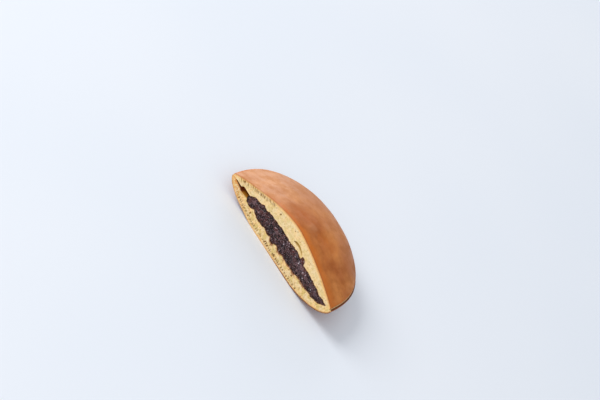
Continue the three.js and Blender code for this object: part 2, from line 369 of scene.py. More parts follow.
@dataclass
class Filling:
    """The form of the bean paste: a thick lens whose middle sinks towards the right end."""

    seam: Seam = Seam()
    plan: Plan = Plan(centre=9.2, half_length=58.9, depth=64)
    half_height: float = 7.5
    power: float = 2.9
    fullness: float = 0.76
    drop: float = 1.25
    tilt: float = 0.068
    pivot: float = 8
    swells: Swells = Swells(
        upper=((-43, 1.5, 5), (-8, 1.2, 7), (16, 2.5, 7), (40, 0.6, 7)),
        lower=((-43, 3.7, 5), (-26, 2.6, 6.5), (-5, 1.6, 4), (36, -2.4, 6), (47, -1.1, 6)),
    )
    swell_depth: float = 8
    lump_waves: int = 5
    lump_size: float = 8.5
    lump_growth: float = 0.24
    lump_turn: float = 2.4
    lump_phase: float = 1.9
    lump_height: float = 0.5
    lump_shift: float = 40
    least_half_height: float = 0.4
    thin_edge: float = 0.02
    bean_length: float = 6.4
    bean_width: float = 4.4
    bean_count: int = 32
    bean_proud: float = 1.1
    bean_margin: float = 0.4
    risen_x: float = 26.2
    risen_level: float = 6.2
    risen_size: Span = (8.2, 5.0)
    risen_turn: float = 0.75
    risen_tone: float = 0.1
    lobes: Swells = Swells(
        upper=(
            (-39.5, -1.0, 1.8), (-33, 1.3, 1.8), (0.5, 1.0, 3), (10.5, -0.8, 2.2), (57, -0.7, 4),
        ),
        lower=(
            (-47.3, 1.6, 1.3), (-41.5, -0.6, 1.8), (-37, -0.6, 1.5), (-34.2, 1.1, 1.4),
            (-29.7, 1.0, 1.5), (-24.5, -0.9, 2), (-13.5, 0.9, 1.7), (-9.3, -1.3, 1.2),
            (-4.2, 1.1, 1.3), (0.3, -1.2, 2), (5.4, 0.5, 1.2), (9.7, -1.5, 2.3),
            (21.3, -1.1, 3.2), (35.5, -0.6, 3),
        ),
    )
    ragged: float = 0.55
    ragged_size: float = 2.2
    ragged_depth: float = 3
    noise: Noise = field(default_factory=lambda: Noise(21))

    def risen_bean(self) -> Bean:
        """The bean that has risen out of the filling into the upper crumb."""
        place = self.risen_x, self.seam.at(self.risen_x) + self.risen_level
        return Bean(*place, *self.risen_size, self.risen_turn, self.bean_proud, self.risen_tone)

    def lumps(self, x: Array, y: Array) -> Array:
        """Low mounds and hollows of the skin, which are waves in several directions.

        Args:
            x: places along the cut.
            y: places behind the cut.

        Returns:
            The height at each place.
        """
        total = 0.0
        for k in range(self.lump_waves):
            turn = self.lump_turn * k
            along = x * math.cos(turn) + y * math.sin(turn)
            length = self.lump_size * (1 + self.lump_growth * k)
            total = total + np.sin(2 * math.pi * along / length + self.lump_phase * k)
        return self.lump_height * total / math.sqrt(self.lump_waves)

    def skin(self, side: Side, x: Array, y: Array, thin_rim: bool = False) -> Array:
        """Height of the upper or lower skin of the solid.

        Args:
            side: which skin.
            x: places along the cut.
            y: places behind the cut.
            thin_rim: whether the rim tapers to an edge.

        Returns:
            The height at each place.
        """
        up = side.value
        share = self.plan.share(x, y)
        slope = self.tilt * (x - self.pivot) * (1 - share**5)
        middle = self.seam.at(x) - self.drop - slope
        body = self.half_height * np.maximum(0, 1 - share**self.power) ** self.fullness
        uneven = self.lumps(x, y + self.lump_shift * up) * rounded(share**4)
        swollen = self.swells.at(side, x) * bell(y, self.swell_depth)
        least = self.least_half_height
        if thin_rim:
            least = self.thin_edge + least * rounded(share**12)
        return middle + up * np.maximum(least, body + uneven + swollen)

    def edge(self, side: Side, x: Array, y: Array) -> Array:
        """Height of the real, ragged skin, with the risen bean.

        Args:
            side: which skin.
            x: places along the cut.
            y: places behind the cut.

        Returns:
            The height at each place.
        """
        torn = self.noise.layered(spread(x, 50 * side.value, y), self.ragged_size, 3)
        torn = torn * rounded(self.plan.share(x, y) ** 6)
        detail = self.ragged * torn + side.value * self.lobes.at(side, x)
        height = self.skin(side, x, y, True) + detail * bell(y, self.ragged_depth)
        return np.maximum(height, self.risen_bean().top(x, y)) if side is Side.UPPER else height

    def beans(self) -> list[Bean]:
        """Beans that show in the cut face, at the places where the solid has them.

        Returns:
            The beans from left to right.
        """
        draw = SeededDraws(11)
        beans = []
        half_length, bean_length, margin = self.plan.half_length, self.bean_length, self.bean_margin
        spacing = (2 * half_length - bean_length) / self.bean_count
        for i in range(self.bean_count):
            x = self.plan.centre - half_length + bean_length / 2 + spacing * (i + draw())
            size = 0.75 + 0.35 * draw()
            level = draw()
            turn = 0.9 * (draw() - 0.5)
            proud = self.bean_proud * (0.5 + 0.5 * draw())
            span = np.array([x - bean_length / 3, x, x + bean_length / 3])
            top = self.skin(Side.UPPER, span, np.zeros(3)).min()
            bottom = self.skin(Side.LOWER, span, np.zeros(3)).max()
            height = self.bean_width * size
            room = top - bottom - height - 2 * margin
            if room > margin:
                z = bottom + margin + height / 2 + room * level
                lean = turn * min(1, room / 3)
                beans.append(Bean(x, z, bean_length * size, height, lean, proud, draw_tone(x)))
        return beans


def draw_tone(x: float) -> float:
    """A tone from 0 to 1 that differs from bean to bean."""
    return (math.sin(x * 12.9898) * 43758.5453) % 1.0


@dataclass(frozen=True)
class Pocket:
    """The gap between the pancakes beside the filling's left end, which the cut opens."""

    tip_x: float = -68
    wide_x: float = -60.5
    mouth_x: float = -58
    end_x: float = -42
    drops: tuple[float, float, float] = (0.4, 1.8, 1.2)
    narrow: float = 1.2
    wide: float = 2.9
    tip_power: float = 0.4
    end_power: float = 0.3
    depth: float = 7

    def middle(self, x: Array) -> Array:
        """How far below the seam the middle of the gap lies."""
        return np.interp(x, (self.tip_x, self.wide_x, self.mouth_x), self.drops)

    def half_opening(self, x: Array, y: Array) -> Array:
        """Half of the gap's height, which is a narrow crack at the tip and opens suddenly.

        Args:
            x: places along the cut.
            y: places behind the cut.

        Returns:
            The half height, 0 where there is no gap.
        """
        from_tip = np.clip((x - self.tip_x) / (self.wide_x - self.tip_x), 0, 1)
        to_end = np.clip((self.end_x - x) / (self.end_x - self.mouth_x), 0, 1)
        opened = (self.wide - self.narrow) * smooth_step(x, self.wide_x, self.mouth_x)
        height = (self.narrow * from_tip**self.tip_power + opened) * to_end**self.end_power
        return height * rounded((y / self.depth) ** 2)


@dataclass(frozen=True)
class Tear:
    """The thin curved tear in the upper crumb, which ends at the risen bean."""

    from_x: float = 8.2
    to_x: float = 22.4
    from_level: float = 11.1
    to_level: float = 8.6
    bulge: float = 3.6
    width: float = 3.0
    least: float = 0.14
    depth: float = 1.2

    def opening(self, seam: Seam, x: Array, z: Array) -> Array:
        """How open the tear is.

        Args:
            seam: that the levels count from.
            x: places along the cut.
            z: heights.

        Returns:
            1 in the middle of the tear and 0 at its edges and outside.
        """
        t = (x - self.from_x) / (self.to_x - self.from_x)
        start = seam.at(self.from_x) + self.from_level
        end = seam.at(self.to_x) + self.to_level
        middle = (start + end) / 2 + self.bulge
        line = (1 - t) ** 2 * start + 2 * t * (1 - t) * middle + t * t * end
        half_width = self.width * np.sqrt(np.clip(t, 0, 1)) * (1 - t) + self.least
        across = np.where((t > 0) & (t < 1), (z - line) / half_width, 2)
        return rounded(across**2)


@dataclass
class Cake:
    """How the pancakes, the filling and the gap beside it fit together."""

    seam: Seam = Seam()
    filling: Filling = field(default_factory=Filling)
    pocket: Pocket = Pocket()
    touch: float = 0.01
    room: float = 0.03
    hidden_room: float = 0.25
    hidden_from: float = 2
    crown: Mound = Mound(
        plan=Plan(centre=0, half_length=73, depth=76),
        rise=23,
        shift=-2,
        power=1.66,
        fullness=1.13,
        back_fullness=0.41,
        edge=2.8,
        hollows=(
            Hollow(-8, 28, 9, 0.5),
            Hollow(17, 23, 10, 0.6),
            Hollow(44, 30, 11, 0.35),
            Hollow(-30, 44, 12, 0.3),
        ),
    )
    belly: Mound = Mound(
        plan=Plan(centre=1, half_length=74.2, depth=76),
        rise=20,
        shift=24,
        power=2.47,
        fullness=0.61,
        back_fullness=0.5,
        edge=2.6,
    )
    swell: float = 0.28
    swell_size: float = 12
    dent: float = 0.4
    dents: tuple[Hollow, ...] = (
        Hollow(-11, 16, 9, 1.1),
        Hollow(20, 26, 8.5, 1.5),
        Hollow(4, 17, 7, -1.3),
        Hollow(9, 34, 6, -0.9),
    )
    wander: float = 5
    wander_size: float = 11
    noise: Noise = field(default_factory=lambda: Noise(4))

    def mound(self, side: Side) -> Mound:
        """The form of a pancake's browned side."""
        return self.crown if side is Side.UPPER else self.belly

    def dented(self, side: Side, x: Array, y: Array) -> Array:
        """Where the upper browned side is dented, along edges that wander.

        Args:
            side: which pancake.
            x: places along the cut.
            y: places behind the cut.

        Returns:
            About 1 in the middle of a dent, and -1 on a raised place.
        """
        dents = self.dents if side is Side.UPPER else ()
        x = x + self.wander * self.noise.layered(spread(x, y, 40), self.wander_size, 2)
        y = y + self.wander * self.noise.layered(spread(x, y, 140), self.wander_size, 2)
        return np.zeros_like(x) + sum(dent.at(x, y) for dent in dents)

    def browned(self, side: Side, x: Array, y: Array) -> Array:
        """Height of a pancake's browned side.

        Args:
            side: which pancake.
            x: places along the cut.
            y: places behind the cut.

        Returns:
            The height at each place, never below the surface that the half rests on.
        """
        mound = self.mound(side)
        uneven = self.swell * self.noise.layered(spread(x, y, 90 * side.value), self.swell_size, 3)
        uneven = uneven - self.dent * self.dented(side, x, y)
        uneven = uneven * rounded(mound.plan.share(x, y) ** 6)
        return np.maximum(0, self.seam.at(x) + side.value * (mound.at(x, y) + uneven))

    def meeting(self, x: Array, y: Array) -> Array:
        """Height at which the pancakes touch beyond the filling.

        Args:
            x: places along the cut.
            y: places behind the cut.

        Returns:
            The filling's own level at its rim, which rises to the seam at the pancakes' rim.
        """
        plan = self.crown.plan
        past_filling = np.maximum(0, self.filling.plan.outwards(x, y) - 1)
        rim_share = plan.half_length / (plan.half_length - self.crown.lip_inset)
        to_rim = np.maximum(0, 1 - plan.outwards(x, y) * rim_share)
        low = to_rim / np.maximum(past_filling + to_rim, 1e-6)
        return self.seam.at(x) - self.filling.drop * low

    def inner(self, side: Side, x: Array, y: Array) -> Array:
        """Height of a pancake's inner side.

        Args:
            side: which pancake.
            x: places along the cut.
            y: places behind the cut.

        Returns:
            The height at each place.
        """
        up = side.value
        apart = self.room + self.hidden_room * (1 - np.exp(-y / self.hidden_from))
        beside = self.meeting(x, y) + up * self.touch
        over = self.filling.edge(side, x, y) + up * apart
        height = np.where(self.filling.plan.outwards(x, y) < 1, over, beside)
        opening = self.pocket.half_opening(x, y)
        gap_edge = self.seam.at(x) - self.pocket.middle(x) + up * opening
        return np.where(opening > 0, up * np.maximum(up * height, up * gap_edge), height)


# ---- Meshes ----------------------------------------------------------------------------------


def to_frame(points: Array) -> Array:
    """Points in millimetres from the middle of the cut, as points in the row frame.

    Args:
        points: an array with three coordinates in its last axis.

    Returns:
        The same points in metres.
    """
    low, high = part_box("lower_pancake")
    belly = Cake().belly.plan
    origin = np.array([high.x - (belly.centre + belly.half_length) * MM, low.y, 0.0])
    return np.asarray(points, float) * MM + origin


def add_object(name: str, data: bpy.types.ID) -> bpy.types.Object:
    """Adds an object to the scene.

    Args:
        name: of the object.
        data: its mesh, light or camera.

    Returns:
        The object.
    """
    added = bpy.data.objects.new(name, data)
    bpy.context.scene.collection.objects.link(added)
    return added


class FaceList:
    """Faces of a mesh, with the zone of each."""

    def __init__(self) -> None:
        """Starts with no faces."""
        self.corners: list[list[int]] = []
        self.zones: list[Zone] = []

    def add(self, corners: Sequence[int], zone: Zone) -> None:
        """One face, whose repeated corners are dropped."""
        self.corners.append(list(dict.fromkeys(int(corner) for corner in corners)))
        self.zones.append(zone)

    def grid(self, sides: Sequence[Array], zone: Zone) -> None:
        """Faces with four corners each, which are given as four arrays."""
        for corners in zip(*(side.ravel() for side in sides)):
            self.add(corners, zone)

    def fan(self, rays: Array, edges: Sequence[Array], step: int, zone: Zone, turned: bool) -> None:
        """Faces between rays, and between the outer rays and the fine edges of the cut face.

        Args:
            rays: corners of each ray, from the first ray to the last.
            edges: corners of the cut face's edge before the first ray and after the last one.
            step: how many corners of an edge lie beside one of a ray.
            zone: of the faces.
            turned: whether the faces look the other way.
        """
        near, far = rays[:-1], rays[1:]
        quads = [near[:, :-1], near[:, 1:], far[:, 1:], far[:, :-1]]
        self.grid(quads[::-1] if turned else quads, zone)
        for i in range(rays.shape[1] - 1):
            first, last = (edge[i * step : (i + 1) * step + 1] for edge in edges)
            start = [*first, rays[0, i + 1], rays[0, i]]
            end = [rays[-1, i], rays[-1, i + 1], *last[::-1]]
            for face in (start, end):
                self.add(face[::-1] if turned else face, zone)


@dataclass(frozen=True)
class Fineness:
    """How finely a half-moon is divided."""

    rings: int
    rows: int
    rays: int = 80
    step: int = 4
    crowding: float = 0.5


class HalfMoon:
    """A closed half-moon: two skins, a rim between them, and the cut face in front.

    The cut face is a fine grid. Behind it a face spans several of the grid's rings or rows.
    """

    fineness: Fineness

    def skin(self, outer: bool, share: Array, angle: Array) -> Array:
        """Points of the outer skin, or of the inner one, by share of the way to the rim."""
        raise NotImplementedError

    def between(self, first: Array, last: Array, part: Array, near_rim: Array) -> Array:
        """Points from the first skin, where part is 0, to the last, where it is 1."""
        raise NotImplementedError

    def relief(self, x: Array, z: Array) -> Array:
        """How deep the cut face lies behind the plane of the cut, or in front below 0."""
        raise NotImplementedError

    def near_rim(self, share: Array) -> Array:
        """1 at the rim and 0 well inside, along the cut."""
        return np.zeros_like(share)

    def columns(self) -> tuple[Array, Array]:
        """The share and the angle of each column of the cut face, from left to right."""
        column = np.arange(-self.fineness.rings, self.fineness.rings + 1)
        return np.abs(column) / self.fineness.rings, np.where(column < 0, math.pi, 0.0)

    def cut_face(self) -> Array:
        """The points of the cut face.

        Returns:
            Its columns from left to right, each with its rows.
        """
        share, angle = self.columns()
        first, last = (self.skin(outer, share, angle)[:, None] for outer in (False, True))
        part = np.linspace(0, 1, self.fineness.rows + 1)[None, :, None]
        points = self.between(first, last, part, self.near_rim(share)[:, None, None])
        points[..., 1] = self.relief(points[..., 0], points[..., 2])
        return points

    def solid(self) -> tuple[Array, list[Array], FaceList]:
        """The whole surface.

        Returns:
            Its points, the places in them of the cut face, the skins and the rim, and its faces.
        """
        size = self.fineness
        rings, rows, step = size.rings, size.rows, size.step
        turn = np.arange(1, size.rays) / size.rays
        angle = math.pi * turn - size.crowding * np.sin(2 * math.pi * turn) / 2
        ring = np.arange(step, rings + 1, step) / rings
        skins = [self.skin(outer, *np.meshgrid(ring, angle)) for outer in (False, True)]
        part = np.arange(step, rows, step)[None, :, None] / rows
        rim = self.between(skins[0][:, -1:], skins[1][:, -1:], part, np.ones((1, 1, 1)))
        blocks = [self.cut_face(), *skins, rim]
        starts = np.cumsum([0] + [block[..., 0].size for block in blocks])
        places = [
            start + np.arange(block[..., 0].size).reshape(block.shape[:2])
            for start, block in zip(starts, blocks)
        ]
        front = places[0]
        faces = FaceList()
        faces.grid([front[:-1, :-1], front[1:, :-1], front[1:, 1:], front[:-1, 1:]], Zone.CUT)
        for row, skin, zone in ((0, places[1], Zone.HIDDEN), (rows, places[2], Zone.BROWNED)):
            pole = np.full((size.rays - 1, 1), front[rings, row])
            edges = front[rings:, row], front[rings::-1, row]
            faces.fan(np.hstack([pole, skin]), edges, step, zone, turned=row == 0)
        wall = np.hstack([places[1][:, -1:], places[3], places[2][:, -1:]])
        faces.fan(wall, (front[-1], front[0]), step, Zone.BROWNED, turned=True)
        return np.concatenate([block.reshape(-1, 3) for block in blocks]), places, faces


def placed(count: int, places: Array, values: Array, usual: float = 0.0) -> Array:
    """Values at some points, and a usual one at the others.

    Args:
        count: of all points.
        places: of the points that have a value of their own.
        values: at those.
        usual: value at the others.

    Returns:
        One value for each point.
    """
    every = np.full(count, usual)
    every[places] = values
    return every


def nearest(points: Array, line: Array) -> tuple[Array, Array]:
    """Finds the closest point of a line for each point.

    Args:
        points: x and z of each point.
        line: x and z along the line.

    Returns:
        The distance, and the place of the closest point in the line.
    """
    distance = np.empty(len(points))
    place = np.empty(len(points), int)
    batch = 4096
    for start in range(0, len(points), batch):
        here = slice(start, start + batch)
        apart = np.hypot(*(points[here, None, axis] - line[None, :, axis] for axis in (0, 1)))
        place[here] = apart.argmin(axis=1)
        distance[here] = apart.min(axis=1)
    return distance, place


def make_mesh(
    name: str,
    points: Array,
    faces: FaceList,
    finishes: dict[Zone, Material],
    marks: dict[str, Array],
) -> bpy.types.Object:
    """Makes a smooth piece whose zones meet at sharp edges.

    Args:
        name: of the piece.
        points: in millimetres from the middle of the cut.
        faces: of the mesh.
        finishes: one for each zone.
        marks: values for the finishes at each point: single numbers or three.

    Returns:
        The piece, in the row frame.
    """
    mesh = bpy.data.meshes.new(name)
    mesh.from_pydata(to_frame(points), [], faces.corners)
    order = list(dict.fromkeys(finishes.values()))
    for material in order:
        mesh.materials.append(material)
    slots = np.array([order.index(finishes[zone]) for zone in faces.zones], np.int32)
    mesh.polygons.foreach_set("material_index", slots)
    mesh.shade_smooth()
    mark_sharp(mesh, np.array([zone.value for zone in faces.zones]))
    for mark, values in marks.items():
        kind, key = ("FLOAT", "value") if values.ndim == 1 else ("FLOAT_VECTOR", "vector")
        data = mesh.attributes.new(mark, kind, "POINT").data
        data.foreach_set(key, values.astype(np.float32).ravel())
    return add_object(name, mesh)


def mark_sharp(mesh: bpy.types.Mesh, kinds: Array) -> None:
    """Marks the edges between faces of different kinds as sharp.

    Args:
        mesh: to mark.
        kinds: the kind of each face.
    """
    edges = np.empty(len(mesh.loops), np.int32)
    mesh.loops.foreach_get("edge_index", edges)
    totals = np.empty(len(mesh.polygons), np.int32)
    mesh.polygons.foreach_get("loop_total", totals)
    beside = np.repeat(kinds, totals)
    low = np.full(len(mesh.edges), kinds.max())
    high = np.full(len(mesh.edges), kinds.min())
    np.minimum.at(low, edges, beside)
    np.maximum.at(high, edges, beside)
    sharp = mesh.attributes.new("sharp_edge", "BOOLEAN", "EDGE")
    sharp.data.foreach_set("value", low != high)


# ---- Shader building -------------------------------------------------------------------------


@dataclass
class Nodes:
    """A node tree that is filled by short calls, which take numbers, colours or sockets."""

    tree: Tree

    def add(self, kind: str, *given: object, **settings: object) -> Node:
        """Adds a node.

        Args:
            kind: its type, without "ShaderNode".
            given: what its first inputs take.
            settings: its properties.

        Returns:
            The node.
        """
        down, across = divmod(len(self.tree.nodes), 8)
        node = self.tree.nodes.new(kind if kind.startswith("Node") else f"ShaderNode{kind}")
        node.location = (200 * across, -260 * down)
        for key, value in settings.items():
            setattr(node, key, value)
        for socket, value in zip(node.inputs, given):
            self.put(socket, value)
        return node

    def put(self, socket: Socket, value: object) -> None:
        """Links a socket or sets its value.

        Args:
            socket: to link or set.
            value: another socket, a number or a colour.
        """
        if isinstance(value, Socket):
            self.tree.links.new(value, socket)
        else:
            socket.default_value = (*value, 1.0) if isinstance(value, tuple) else value

    def fill(self, node: Node, values: dict[str, object]) -> Node:
        """Links or sets inputs of a node.

        Args:
            node: to fill.
            values: what each input takes, by its name.

        Returns:
            The node.
        """
        for key, value in values.items():
            self.put(node.inputs[key], value)
        return node

    def math(self, operation: str, *given: object) -> Socket:
        """One step of arithmetic, such as MULTIPLY."""
        return self.add("Math", *given, operation=operation).outputs[0]

    def times(self, a: object, b: object) -> Socket:
        """The product of two values."""
        return self.math("MULTIPLY", a, b)

    def fit(self, value: object, off: object, on: object) -> Socket:
        """0 where a value is off or beyond, 1 where it is on or beyond, and smooth between."""
        return self.add("MapRange", value, off, on, interpolation_type="SMOOTHSTEP").outputs[0]

    def mix(self, share: object, a: object, b: object) -> Socket:
        """Mixes two colours.

        Args:
            share: of the second colour.
            a: first colour.
            b: second colour.

        Returns:
            The colour.
        """
        node = self.add("Mix", data_type="RGBA")
        for socket, value in zip([s for s in node.inputs if s.enabled], (share, a, b)):
            self.put(socket, value)
        return next(socket for socket in node.outputs if socket.enabled)

    def layers(self, colour: object, *tints: tuple[object, object, object]) -> Socket:
        """Lays tints over a colour.

        Args:
            colour: below.
            tints: the mask, the strength and the colour of each, from the lowest up.

        Returns:
            The colour.
        """
        for mask, strength, tint in tints:
            share = mask if strength == 1 else self.times(mask, strength)
            colour = self.mix(share, colour, tint)
        return colour

    def group(self, tree: Tree, **values: object) -> Socket:
        """Places a shared effect with its own values, and gives its mask."""
        return self.fill(self.add("Group", node_tree=tree), values).outputs[0]

    def mark(self, name: str, kind: str = "Fac") -> Socket:
        """A value that the mesh holds at its points."""
        return self.add("Attribute", attribute_name=name).outputs[kind]

    def bump(self, height: object, depth: float, strength: float) -> Socket:
        """A normal that follows fine relief, whose depth is in millimetres."""
        values = {"Strength": strength, "Distance": depth * MM, "Height": height}
        return self.fill(self.add("Bump"), values).outputs[0]


class Effects:
    """The effects that several finishes share: node groups that put out a mask."""

    def __init__(self) -> None:
        """Builds every group once."""
        self.patches = self._patches()
        self.specks = self._specks()
        self.grain = self._grain()

    @staticmethod
    def _start(name: str, **inputs: float | None) -> tuple[Nodes, dict[str, Socket], Socket]:
        """Makes an empty group.

        Args:
            name: of the group.
            inputs: the usual value of each number, and None for a place.

        Returns:
            The group's nodes, what it is given by name, and the socket for its mask.
        """
        tree = bpy.data.node_groups.new(name, "ShaderNodeTree")
        for key, value in inputs.items():
            kind = "NodeSocketVector" if value is None else "NodeSocketFloat"
            socket = tree.interface.new_socket(name=key, in_out="INPUT", socket_type=kind)
            if value is not None:
                socket.default_value = value
        tree.interface.new_socket(name="Mask", in_out="OUTPUT", socket_type="NodeSocketFloat")
        nodes = Nodes(tree)
        given = {socket.name: socket for socket in nodes.add("NodeGroupInput").outputs}
        return nodes, given, nodes.add("NodeGroupOutput").inputs[0]

    @staticmethod
    def _place(nodes: Nodes, size: Socket) -> Socket:
        """The place on the piece, counted in steps of a size in millimetres.

        Args:
            nodes: to add to.
            size: of a step.

        Returns:
            The place.
        """
        place = nodes.add("TexCoord").outputs["Object"]
        scaled = nodes.add("VectorMath", place, operation="SCALE")
        return nodes.fill(scaled, {"Scale": nodes.math("DIVIDE", 1 / MM, size)}).outputs[0]

    @staticmethod
    def _noise(nodes: Nodes, place: Socket, detail: object, given: dict[str, Socket]) -> Socket:
        """A mask from noise at a place, between the group's Low and High."""
        noise = nodes.fill(nodes.add("TexNoise"), {"Vector": place, "Scale": 1, "Detail": detail})
        return nodes.fit(noise.outputs["Fac"], given["Low"], given["High"])

    def _patches(self) -> Tree:
        """Soft patches of a size, with a contrast.

        Returns:
            The group.
        """
        nodes, given, mask = self._start("Soft patches", Size=20, Detail=3, Low=0.35, High=0.65)
        place = self._place(nodes, given["Size"])
        nodes.put(mask, self._noise(nodes, place, given["Detail"], given))
        return nodes.tree

    def _specks(self) -> Tree:
        """Round specks of a size, only some of which show.

        Returns:
            The group.
        """
        nodes, given, mask = self._start("Specks", Size=2, Radius=0.25, Share=0.3)
        cells = nodes.add("TexVoronoi", feature="F1")
        nodes.fill(cells, {"Vector": self._place(nodes, given["Size"]), "Scale": 1})
        core = nodes.times(given["Radius"], 0.35)
        near = nodes.fit(cells.outputs["Distance"], given["Radius"], core)
        parts = nodes.add("SeparateColor", cells.outputs["Color"])
        chosen = nodes.math("LESS_THAN", parts.outputs[0], given["Share"])
        nodes.put(mask, nodes.times(near, chosen))
        return nodes.tree

    def _grain(self) -> Tree:
        """Fine grain that is stretched along the second coordinate of the given place.

        Returns:
            The group.
        """
        nodes, given, mask = self._start(
            "Stretched grain", Place=None, Width=0.5, Length=1.5, Low=0.4, High=0.6
        )
        parts = nodes.add("SeparateXYZ", given["Place"]).outputs
        sizes = (given["Width"], given["Length"], given["Width"])
        scaled = [nodes.math("DIVIDE", part, size) for part, size in zip(parts, sizes)]
        place = nodes.add("CombineXYZ", *scaled).outputs[0]
        nodes.put(mask, self._noise(nodes, place, 3, given))
        return nodes.tree


def srgb(red: int, green: int, blue: int) -> Colour:
    """A colour as the linear values that shaders take."""
    parts = (c / 255 for c in (red, green, blue))
    return tuple(c / 12.92 if c <= 0.04045 else ((c + 0.055) / 1.055) ** 2.4 for c in parts)


# ---- Finishes --------------------------------------------------------------------------------


@dataclass(frozen=True)
class Finish:
    """How a surface looks."""

    name: str

    def inputs(self, nodes: Nodes, effects: Effects) -> dict[str, object]:
        """What each input of the shader takes."""
        raise NotImplementedError

    def build(self, effects: Effects) -> Material:
        """Makes the material.

        Args:
            effects: shared node groups.

        Returns:
            The material.
        """
        material = bpy.data.materials.new(self.name)
        material.use_nodes = True
        material.node_tree.nodes.clear()
        nodes = Nodes(material.node_tree)
        shader = nodes.add("BsdfPrincipled")
        nodes.add("OutputMaterial", shader.outputs[0])
        nodes.fill(shader, self.inputs(nodes, effects))
        return material


@dataclass(frozen=True)
class CrustFinish(Finish):
    """The smooth browned skin of a pancake, with an orange band beside the cut, a painted sheen
    towards its left end and back, and dents painted partly as shade and light.
    """

    name: str = "browned_crust"
    brown: Colour = srgb(178, 98, 40)
    light: Colour = srgb(210, 132, 64)
    deep: Colour = srgb(142, 70, 24)
    orange: Colour = srgb(204, 108, 28)
    sheen_tan: Colour = srgb(210, 156, 112)
    roughness: float = 0.4
    gloss: float = 0.16
    full_dent: float = 1.3

    def inputs(self, nodes: Nodes, effects: Effects) -> dict[str, object]:
        """What each input of the shader takes.

        Args:
            nodes: of the material.
            effects: shared node groups.

        Returns:
            Numbers or sockets, by the input's name.
        """
        broad = nodes.group(effects.patches, Size=34, Detail=2, Low=0.36, High=0.66)
        middle = nodes.group(effects.patches, Size=8, Detail=4, Low=0.38, High=0.68)
        fine = nodes.group(effects.patches, Size=0.9, Detail=3, Low=0.3, High=0.7)
        pits = nodes.group(effects.specks, Size=3.4, Radius=0.16, Share=0.35)
        dented, behind = nodes.mark("dented"), nodes.mark("cut_distance")
        dent, rise = (nodes.fit(dented, 0, full) for full in (self.full_dent, -self.full_dent))
        band = nodes.fit(behind, nodes.math("MULTIPLY_ADD", broad, 8, 7), 0.4)
        colour = nodes.layers(
            self.brown,
            (broad, 1, self.light),
            (middle, 0.38, self.deep),
            # Painted sheen: a pale tan towards the left end and along the back stands in for a soft
            # grazing reflection.
            (nodes.mark("painted_sheen_end"), 1, self.sheen_tan),
            # The dents are painted deeper and more orange and the raised places paler: partly the
            # crust's own tone, partly painted shade and painted light.
            (dent, 0.4, self.orange),
            (dent, 0.25, self.deep),
            (rise, 0.22, self.sheen_tan),
            (nodes.times(band, 0.85), nodes.mark("band"), self.orange),
            (nodes.fit(behind, 2, 0.3), 0.85, self.brown),
            (fine, 0.12, self.deep),
            (pits, 0.5, self.deep),
            (nodes.fit(nodes.mark("rim_distance"), 2.6, 0), 0.5, self.orange),
        )
        return {
            "Base Color": colour,
            "Roughness": nodes.math("MULTIPLY_ADD", middle, 0.22, self.roughness),
            "Specular IOR Level": self.gloss,
            "Normal": nodes.bump(nodes.math("SUBTRACT", fine, pits), 0.05, 0.5),
        }


